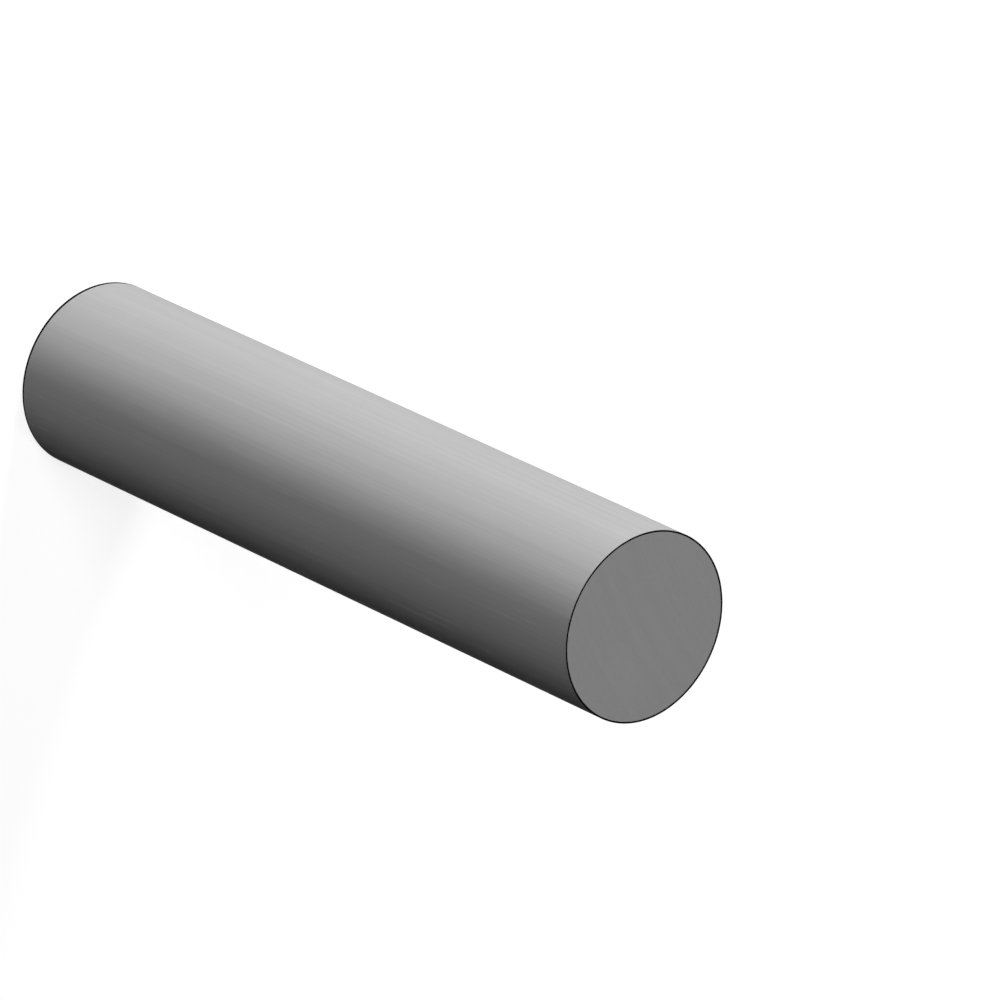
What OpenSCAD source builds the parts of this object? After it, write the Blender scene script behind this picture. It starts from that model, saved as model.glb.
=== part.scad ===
// Round metal bar: a plain length of solid round stock, cut square at both ends.
// It stands on one cut end along Z. The origin is on the floor, in the middle of that end.

/* [Bar] */
// Diameter of the bar
bar_d = 40; // [20:0.5:100]
// Length of the bar over its two cut ends
bar_l = 180; // [60:1:450]

/* [Ends] */
// Width of the 45 degree break that takes the burr off each cut edge
edge_break = 0.1; // [0.05:0.05:2]

/* [Hidden] */
$fn = 180;
bar_r = bar_d / 2;
// Radius of the flat part of each cut end, inside its broken edge
face_r = bar_r - edge_break;
// Height at which the upper broken edge starts
upper_break_z = bar_l - edge_break;

// Half of the bar's lengthwise section, from its axis out to its side
module half_section() {
    polygon([
        [0, 0],
        [face_r, 0],
        [bar_r, edge_break],
        [bar_r, upper_break_z],
        [face_r, bar_l],
        [0, bar_l]
    ]);
}

// The bar: one solid, turned about its own axis as on a lathe
module round_bar() {
    color([0.5, 0.5, 0.5])
        rotate_extrude() half_section();
}

round_bar();
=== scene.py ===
"""The looks of the round metal bar, which stands on one cut end: its finish, the studio and the camera."""

import math

import bpy
from mathutils import Matrix, Vector


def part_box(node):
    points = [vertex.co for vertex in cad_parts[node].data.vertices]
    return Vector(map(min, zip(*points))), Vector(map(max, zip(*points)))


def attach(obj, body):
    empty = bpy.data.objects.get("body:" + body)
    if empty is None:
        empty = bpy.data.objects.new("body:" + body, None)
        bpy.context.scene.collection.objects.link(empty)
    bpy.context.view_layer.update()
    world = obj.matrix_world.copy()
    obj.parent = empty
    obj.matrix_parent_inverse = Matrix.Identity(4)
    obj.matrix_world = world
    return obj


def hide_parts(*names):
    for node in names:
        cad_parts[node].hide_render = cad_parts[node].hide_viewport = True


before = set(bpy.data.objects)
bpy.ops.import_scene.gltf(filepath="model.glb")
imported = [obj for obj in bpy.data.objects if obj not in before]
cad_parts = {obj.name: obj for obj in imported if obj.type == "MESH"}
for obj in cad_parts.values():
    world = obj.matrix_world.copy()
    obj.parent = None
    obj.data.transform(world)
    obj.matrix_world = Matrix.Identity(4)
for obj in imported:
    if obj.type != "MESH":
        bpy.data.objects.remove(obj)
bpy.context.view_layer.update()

MM = 0.001

# How finely the bar is modelled
ROUND_STEPS = 192
EDGE_STEPS = 3
END_RINGS = 6
SIDE_STEPS = 12
SMOOTH_BELOW = math.radians(30)
# A face belongs to a cut end if its normal is at least this upright
UPRIGHT = 0.999

# The broken edges, and how far the painted dark shade line reaches from each of them
EDGE_BREAK = 0.1 * MM
SHADE_LINE_ON_END = 0.28 * MM
SHADE_LINE_ABOVE_LOWER_EDGE = 0.55 * MM
SHADE_LINE_BELOW_UPPER_EDGE = 0.1 * MM
# The painted shade line is uneven: on the ends it is wider towards the back,
# and on the side it rises towards the left of the lower edge
SHADE_LINE_SHIFT = 0.16 * MM
SHADE_LINE_RISE = 0.2 * MM

# The bar's measures, from the CAD model
bar_low, bar_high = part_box("round_bar")
BAR_RADIUS = min(bar_high.x, bar_high.y, -bar_low.x, -bar_low.y)
BAR_LENGTH = bar_high.z - bar_low.z
BAR_MIDDLE = Vector((0.0, 0.0, bar_low.z + BAR_LENGTH / 2))
# The steel that is free of the painted dark shade line: its lowest and highest place on the side, and its
# reach on an end
STEEL_BOTTOM = bar_low.z + EDGE_BREAK + SHADE_LINE_ABOVE_LOWER_EDGE
STEEL_TOP = bar_high.z - EDGE_BREAK - SHADE_LINE_BELOW_UPPER_EDGE
STEEL_REACH = BAR_RADIUS - EDGE_BREAK - SHADE_LINE_ON_END - SHADE_LINE_SHIFT

# Colours, as linear grey, and the share by which each varies up and down
STEEL = 0.55
STEEL_SPREAD = 0.09
# The broken edges are painted near black: painted shade in a thin line round each cut end
EDGE_PAINTED_SHADE = 0.012
EDGE_PAINTED_SHADE_SPREAD = 0.5
# The steel's film of oxide leaves it without shine
SHINE = 0.0

# How often each pattern repeats in a metre, along X, Y and Z
DRAW_LINES = (2600.0, 2600.0, 8.0)
STREAKS = (300.0, 300.0, 3.0)
SIDE_CLOUDS = (48.0, 48.0, 22.0)
SCRATCHES = (9000.0, 9000.0, 40.0)
END_FLECKS = (1100.0, 1100.0, 0.0)
END_CLOUDS = (60.0, 60.0, 1.0)
EDGE_SPECKS = (1500.0, 1500.0, 1500.0)
# The same for the saw's marks, outwards from the place where the middle of its blade was
SAW_ARCS = 2400.0
SAW_SWATHES = 450.0
SAW_CENTRE = Vector((-110.0, 60.0, 0.0)) * MM

# How strongly a pattern changes the grey, where it isn't 1
LINES_IN_GREY = 2.8
ARCS_IN_GREY = 2.2
CLOUDS_IN_GREY = 0.9
SPECKS_IN_GREY = 2.0

# Roughness of each finish, and how strongly a pattern changes it
SIDE_ROUGHNESS = 0.62
END_ROUGHNESS = 0.6
EDGE_ROUGHNESS = 0.7
GROOVES_IN_ROUGHNESS = 0.25
CLOUDS_IN_ROUGHNESS = 0.2
FLECKS_IN_ROUGHNESS = 0.1
SPECKS_IN_ROUGHNESS = 0.3
BARE_IN_ROUGHNESS = 0.15

# Bare metal: the heights of a pattern between which it comes through, and how metallic it is there
BARE_SCRATCHES = (0.17, 0.26)
BARE_FLECKS = (0.15, 0.3)
BARE_SPECKS = (0.1, 0.3)
SIDE_METAL = 0.12
END_METAL = 0.08
EDGE_METAL = 0.03

# Depth of the fine relief, and of the scratches as a share of it
LINE_DEPTH = 0.008 * MM
ARC_DEPTH = 0.006 * MM
SPECK_DEPTH = 0.004 * MM
SCRATCH_SHARE = 0.5

# The camera: the photograph's, turned with the bar from its side onto its end
CAMERA_AIM = Vector((-10.92, 0.0, 127.07)) * MM
CAMERA_DISTANCE = 2089.0 * MM
CAMERA_ELEVATION = math.radians(46.5)
CAMERA_ROLL = math.radians(114.59)
CAMERA_LENS = 374.4
SENSOR_WIDTH = 36.0

# The studio, with the world's light and the floor's greys as shares of white. The lamps are far
# enough away to light the bar evenly along its length
LAMP_DISTANCE = 4.2
WORLD_LIGHT = 0.005
FLOOR_RADIUS = 12.0
FLOOR_STEPS = 96
FLOOR_SHOWN = 0.85
FLOOR_BOUNCE = 0.08
# The floor's own glow: its share near the bar, where the shadow shows, and the distances from the
# bar between which it rises to 1
GLOW_NEAR_BAR = 0.73
GLOW_RISES = (0.3, 0.9)

# The Mix node's sockets for colours, which share their names with its other sockets
MIX_FIRST_COLOUR = 6
MIX_SECOND_COLOUR = 7
MIX_COLOUR_RESULT = 2


class Amount:
    """A number that varies over a surface. Sums and products of amounts add their own Math nodes."""

    def __init__(self, finish, socket):
        self.finish = finish
        self.socket = socket

    def combined(self, operation, first, second):
        node = self.finish.node("Math", {"operation": operation}, {0: first, 1: second})
        return Amount(self.finish, node.outputs["Value"])

    def __add__(self, other):
        return self.combined("ADD", self, other)

    __radd__ = __add__

    def __mul__(self, other):
        return self.combined("MULTIPLY", self, other)

    __rmul__ = __mul__

    def __sub__(self, other):
        return self.combined("SUBTRACT", self, other)

    def __rsub__(self, other):
        return self.combined("SUBTRACT", other, self)

    def larger(self, other):
        return self.combined("MAXIMUM", self, other)

    def between(self, low, high):
        """This amount taken from the range low to high onto 0 to 1, and kept inside it."""
        sockets = {"Value": self, "From Min": low, "From Max": high}
        return self.finish.amount("MapRange", "Result", {"clamp": True}, sockets)


class Finish:
    """The nodes of one material, or of the world, and the one way in which they are added."""

    def __init__(self, owner):
        owner.use_nodes = True
        self.tree = owner.node_tree
        self.tree.nodes.clear()

    def node(self, kind, settings=None, sockets=None):
        """Adds a node of a type, with its settings first and then its sockets' values or links."""
        node = self.tree.nodes.new("ShaderNode" + kind)
        for name, value in (settings or {}).items():
            setattr(node, name, value)
        for name, value in (sockets or {}).items():
            self.plug(node.inputs[name], value)
        return node

    def plug(self, socket, value):
        """Links a socket to another node's, or sets its value."""
        source = value.socket if isinstance(value, Amount) else value
        if isinstance(source, bpy.types.NodeSocket):
            self.tree.links.new(source, socket)
        else:
            socket.default_value = source

    def amount(self, kind, output, settings=None, sockets=None):
        """The same as node, for a node whose output is used as a number."""
        return Amount(self, self.node(kind, settings, sockets).outputs[output])

    def shader(self, kind, sockets):
        """The same as node, for a shader, of which only the output is used."""
        return self.node(kind, {}, sockets).outputs[0]

    def here(self):
        """The point of the surface, in the piece's own frame."""
        return self.node("TexCoord").outputs["Object"]

    def place(self, repeats, shift=(0.0, 0.0, 0.0)):
        """The point of the surface, stretched for a pattern. A shift keeps it apart from other patterns."""
        sockets = {"Vector": self.here(), "Location": shift, "Scale": repeats}
        return self.node("Mapping", {}, sockets).outputs["Vector"]

    def along(self, distance):
        """A place that changes with one distance only, for a pattern of arcs."""
        return self.node("CombineXYZ", {}, {"X": distance, "Y": 0.0, "Z": 0.0}).outputs["Vector"]

    def grain(self, where, detail=2.0, roughness=0.5):
        """Noise about 0, from -0.5 to 0.5, at a place that is already stretched to the grain's size."""
        settings = {"noise_dimensions": "3D"}
        sockets = {"Vector": where, "Scale": 1.0, "Detail": detail, "Roughness": roughness}
        return self.amount("TexNoise", "Fac", settings, sockets) - 0.5

    def varied_grey(self, level, spread, share):
        """A grey level that varies by up to the spread, each way, as the share goes from -1 to 1."""
        sockets = {
            "Factor": share * 0.5 + 0.5,
            MIX_FIRST_COLOUR: grey(level * (1 - spread)),
            MIX_SECOND_COLOUR: grey(level * (1 + spread)),
        }
        return self.node("Mix", {"data_type": "RGBA"}, sockets).outputs[MIX_COLOUR_RESULT]

    def output(self, shader, kind="OutputMaterial"):
        self.node(kind, {}, {"Surface": shader})


def grey(level):
    """An opaque grey, as a colour for a socket."""
    return (level, level, level, 1.0)


def metal(finish, colour, roughness, metallic, relief, depth):
    """The bar's metal, with its colour, roughness and share of bare metal, and relief of a depth."""
    bump = finish.node("Bump", {}, {"Strength": 1.0, "Distance": depth, "Height": relief})
    sockets = {
        "Base Color": colour,
        "Roughness": roughness,
        "Metallic": metallic,
        "Specular IOR Level": SHINE,
        "Normal": bump.outputs["Normal"],
    }
    return finish.shader("BsdfPrincipled", sockets)


def drawn_side():
    """The round side: dull grey steel with draw lines along it, and bare metal in the finest of them."""
    material = bpy.data.materials.new("drawn_side")
    finish = Finish(material)
    lines = finish.grain(finish.place(DRAW_LINES), detail=3.0, roughness=0.65)
    streaks = finish.grain(finish.place(STREAKS, shift=(5.0, 1.0, 2.0)))
    clouds = finish.grain(finish.place(SIDE_CLOUDS, shift=(9.0, 2.0, 5.0)), detail=4.0)
    scratches = finish.grain(finish.place(SCRATCHES, shift=(3.0, 7.0, 1.0)), detail=1.0)
    bare = scratches.between(*BARE_SCRATCHES)
    tone = lines * LINES_IN_GREY + streaks + clouds * CLOUDS_IN_GREY + bare
    colour = finish.varied_grey(STEEL, STEEL_SPREAD, tone)
    roughness = SIDE_ROUGHNESS + lines * GROOVES_IN_ROUGHNESS + clouds * CLOUDS_IN_ROUGHNESS
    roughness = roughness - bare * BARE_IN_ROUGHNESS
    relief = lines - bare * SCRATCH_SHARE
    finish.output(metal(finish, colour, roughness, bare * SIDE_METAL, relief, LINE_DEPTH))
    return material


def sawn_end():
    """A cut end: dull grey steel with the fine arcs that a round saw leaves."""
    material = bpy.data.materials.new("sawn_end")
    finish = Finish(material)
    flat_place = finish.place((1.0, 1.0, 0.0))
    from_saw = finish.amount(
        "VectorMath", "Value", {"operation": "DISTANCE"}, {0: flat_place, 1: SAW_CENTRE}
    )
    arcs = finish.grain(finish.along(from_saw * SAW_ARCS), detail=3.0, roughness=0.7)
    swathes = finish.grain(finish.along(from_saw * SAW_SWATHES), detail=1.0)
    flecks = finish.grain(finish.place(END_FLECKS))
    clouds = finish.grain(finish.place(END_CLOUDS, shift=(4.0, 1.0, 8.0)), detail=3.0)
    tone = arcs * ARCS_IN_GREY + swathes + flecks + clouds * CLOUDS_IN_GREY
    colour = finish.varied_grey(STEEL, STEEL_SPREAD, tone)
    roughness = END_ROUGHNESS + arcs * GROOVES_IN_ROUGHNESS + flecks * FLECKS_IN_ROUGHNESS
    bare = flecks.between(*BARE_FLECKS)
    finish.output(metal(finish, colour, roughness, bare * END_METAL, arcs, ARC_DEPTH))
    return material


def painted_edge_shade():
    """The narrow line round each cut end, where the edge is broken: near-black painted shade, a little
    uneven.
    """
    material = bpy.data.materials.new("painted_edge_shade")
    finish = Finish(material)
    specks = finish.grain(finish.place(EDGE_SPECKS))
    colour = finish.varied_grey(EDGE_PAINTED_SHADE, EDGE_PAINTED_SHADE_SPREAD, specks * SPECKS_IN_GREY)
    roughness = EDGE_ROUGHNESS + specks * SPECKS_IN_ROUGHNESS
    bare = specks.between(*BARE_SPECKS)
    finish.output(metal(finish, colour, roughness, bare * EDGE_METAL, specks, SPECK_DEPTH))
    return material


def on_cut_end(face):
    """Whether a face of the bar lies flat on one of its cut ends."""
    return abs(face.normal.z) > UPRIGHT


def select_cut_ends(bar):
    """Leaves the bar in edit mode with only the flat faces of its cut ends selected."""
    bpy.ops.object.mode_set(mode="EDIT")
    bpy.ops.mesh.select_mode(type="FACE")
    bpy.ops.mesh.select_all(action="DESELECT")
    bpy.ops.object.mode_set(mode="OBJECT")
    for face in bar.data.polygons:
        face.select = on_cut_end(face)
    bpy.ops.object.mode_set(mode="EDIT")


def cut_across(height, lean=0.0):
    """Cuts a ring round the bar at a height on its axis. With a lean, the ring rises to the left."""
    bpy.ops.mesh.select_all(action="SELECT")
    bpy.ops.mesh.bisect(plane_co=(0.0, 0.0, height), plane_no=(lean, 0.0, 1.0))


def round_blank():
    """A plain round blank, from which the bar is made."""
    bpy.ops.object.select_all(action="DESELECT")
    bpy.ops.mesh.primitive_cylinder_add(
        vertices=ROUND_STEPS, radius=BAR_RADIUS, depth=BAR_LENGTH, location=BAR_MIDDLE
    )
    bpy.ops.object.transform_apply(location=True, rotation=True, scale=True)
    return bpy.context.object


def shape_ends(bar):
    """Breaks the cut edges, and gives each end a ring for its painted dark shade line, finer rings and a
    middle point.
    """
    select_cut_ends(bar)
    bpy.ops.mesh.bevel(offset=EDGE_BREAK, segments=EDGE_STEPS, affect="EDGES")
    select_cut_ends(bar)
    bpy.ops.mesh.inset(thickness=SHADE_LINE_ON_END)
    bpy.ops.transform.translate(value=(0.0, -SHADE_LINE_SHIFT, 0.0))
    for _ in range(END_RINGS):
        bpy.ops.mesh.inset(thickness=BAR_RADIUS / (END_RINGS + 1))
    bpy.ops.mesh.poke()


def shape_side():
    """Cuts the rings at which the painted dark shade line ends on the side, and even ones between them."""
    cut_across(STEEL_BOTTOM, lean=SHADE_LINE_RISE / BAR_RADIUS)
    cut_across(STEEL_TOP)
    for step in range(1, SIDE_STEPS):
        cut_across(bar_low.z + BAR_LENGTH * step / SIDE_STEPS)


def paint_bar(bar):
    """Gives each face of the bar the finish of its place: the side, a cut end or a broken edge, which is
    painted dark as shade.
    """
    finishes = (drawn_side(), sawn_end(), painted_edge_shade())
    for material in finishes:
        bar.data.materials.append(material)
    side, end, edge = range(len(finishes))
    for face in bar.data.polygons:
        rise = -face.center.x * SHADE_LINE_RISE / BAR_RADIUS
        # Faces along the broken edges get the near-black painted shade
        face.material_index = edge
        if on_cut_end(face):
            if math.hypot(face.center.x, face.center.y) < STEEL_REACH:
                face.material_index = end
        elif STEEL_BOTTOM + rise < face.center.z < STEEL_TOP:
            face.material_index = side


def turned_bar():
    """The bar: a round blank whose edges are broken, with rings on its cut ends and along its side."""
    bar = round_blank()
    bar.name = "bar"
    shape_ends(bar)
    shape_side()
    bpy.ops.object.mode_set(mode="OBJECT")
    bpy.ops.object.shade_smooth_by_angle(angle=SMOOTH_BELOW)
    paint_bar(bar)
    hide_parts("round_bar")
    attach(bar, "root")


def softbox(name, azimuth, elevation, size, power):
    """A square soft lamp that faces the bar, at angles in degrees. Azimuth 0 is in front, 90 is right."""
    turn = math.radians(azimuth)
    rise = math.radians(elevation)
    towards = Vector(
        (math.sin(turn) * math.cos(rise), -math.cos(turn) * math.cos(rise), math.sin(rise))
    )
    light = bpy.data.lights.new(name, "AREA")
    light.shape = "SQUARE"
    light.size = size
    light.energy = power
    lamp = bpy.data.objects.new(name, light)
    lamp.location = BAR_MIDDLE + towards * LAMP_DISTANCE
    lamp.rotation_euler = towards.to_track_quat("Z", "Y").to_euler()
    lamp.visible_camera = False
    bpy.context.scene.collection.objects.link(lamp)


def shows_white(finish):
    """1 for a ray that shows the background, straight or in a reflection, and 0 for one that lights."""
    path = finish.node("LightPath").outputs
    straight = Amount(finish, path["Is Camera Ray"])
    return straight.larger(path["Is Glossy Ray"]).larger(path["Is Transmission Ray"])


def white_world():
    """White where it shows, and otherwise a weak light from all round."""
    world = bpy.data.worlds.new("white_world")
    bpy.context.scene.world = world
    finish = Finish(world)
    strength = WORLD_LIGHT + shows_white(finish) * (1 - WORLD_LIGHT)
    background = finish.shader("Background", {"Color": grey(1.0), "Strength": strength})
    finish.output(background, "OutputWorld")


def floor_finish():
    """White where the floor shows, with the bar's soft shadow, and a quiet grey for its own bounce."""
    material = bpy.data.materials.new("pale_floor")
    finish = Finish(material)
    reach = finish.amount("VectorMath", "Value", {"operation": "LENGTH"}, {0: finish.here()})
    strength = GLOW_NEAR_BAR + reach.between(*GLOW_RISES) * (1 - GLOW_NEAR_BAR)
    glow = finish.shader("Emission", {"Color": grey(1.0), "Strength": strength})
    matt = finish.shader("BsdfDiffuse", {"Color": grey(FLOOR_SHOWN)})
    shown = finish.shader("AddShader", {0: glow, 1: matt})
    quiet = finish.shader("BsdfDiffuse", {"Color": grey(FLOOR_BOUNCE)})
    finish.output(finish.shader("MixShader", {"Fac": shows_white(finish), 1: quiet, 2: shown}))
    return material


def pale_floor():
    """The floor that the bar stands on."""
    bpy.ops.object.select_all(action="DESELECT")
    bpy.ops.mesh.primitive_circle_add(vertices=FLOOR_STEPS, radius=FLOOR_RADIUS, fill_type="NGON")
    floor = bpy.context.object
    floor.name = "floor"
    floor.data.materials.append(floor_finish())


def studio():
    """The floor, the white round it and the soft lamps."""
    white_world()
    pale_floor()
    softbox("key_left", azimuth=-75.6, elevation=9.5, size=1.25, power=148.5)
    softbox("fill_front", azimuth=-16.7, elevation=38.8, size=2.8, power=64.5)
    softbox("back_right", azimuth=168, elevation=5.6, size=0.93, power=97.0)


def camera():
    """The camera, which sees the bar as the photograph does, with its upper end to the lower right."""
    optics = bpy.data.cameras.new("camera")
    optics.sensor_width = SENSOR_WIDTH
    optics.lens = CAMERA_LENS
    viewer = bpy.data.objects.new("camera", optics)
    tilt = math.radians(90) - CAMERA_ELEVATION
    turned = Matrix.Rotation(tilt, 4, "X") @ Matrix.Rotation(CAMERA_ROLL, 4, "Z")
    backwards = turned.to_3x3() @ Vector((0.0, 0.0, 1.0))
    viewer.matrix_world = Matrix.Translation(CAMERA_AIM + backwards * CAMERA_DISTANCE) @ turned
    bpy.context.scene.collection.objects.link(viewer)
    bpy.context.scene.camera = viewer


bpy.context.scene.view_settings.view_transform = "Standard"
turned_bar()
studio()
camera()
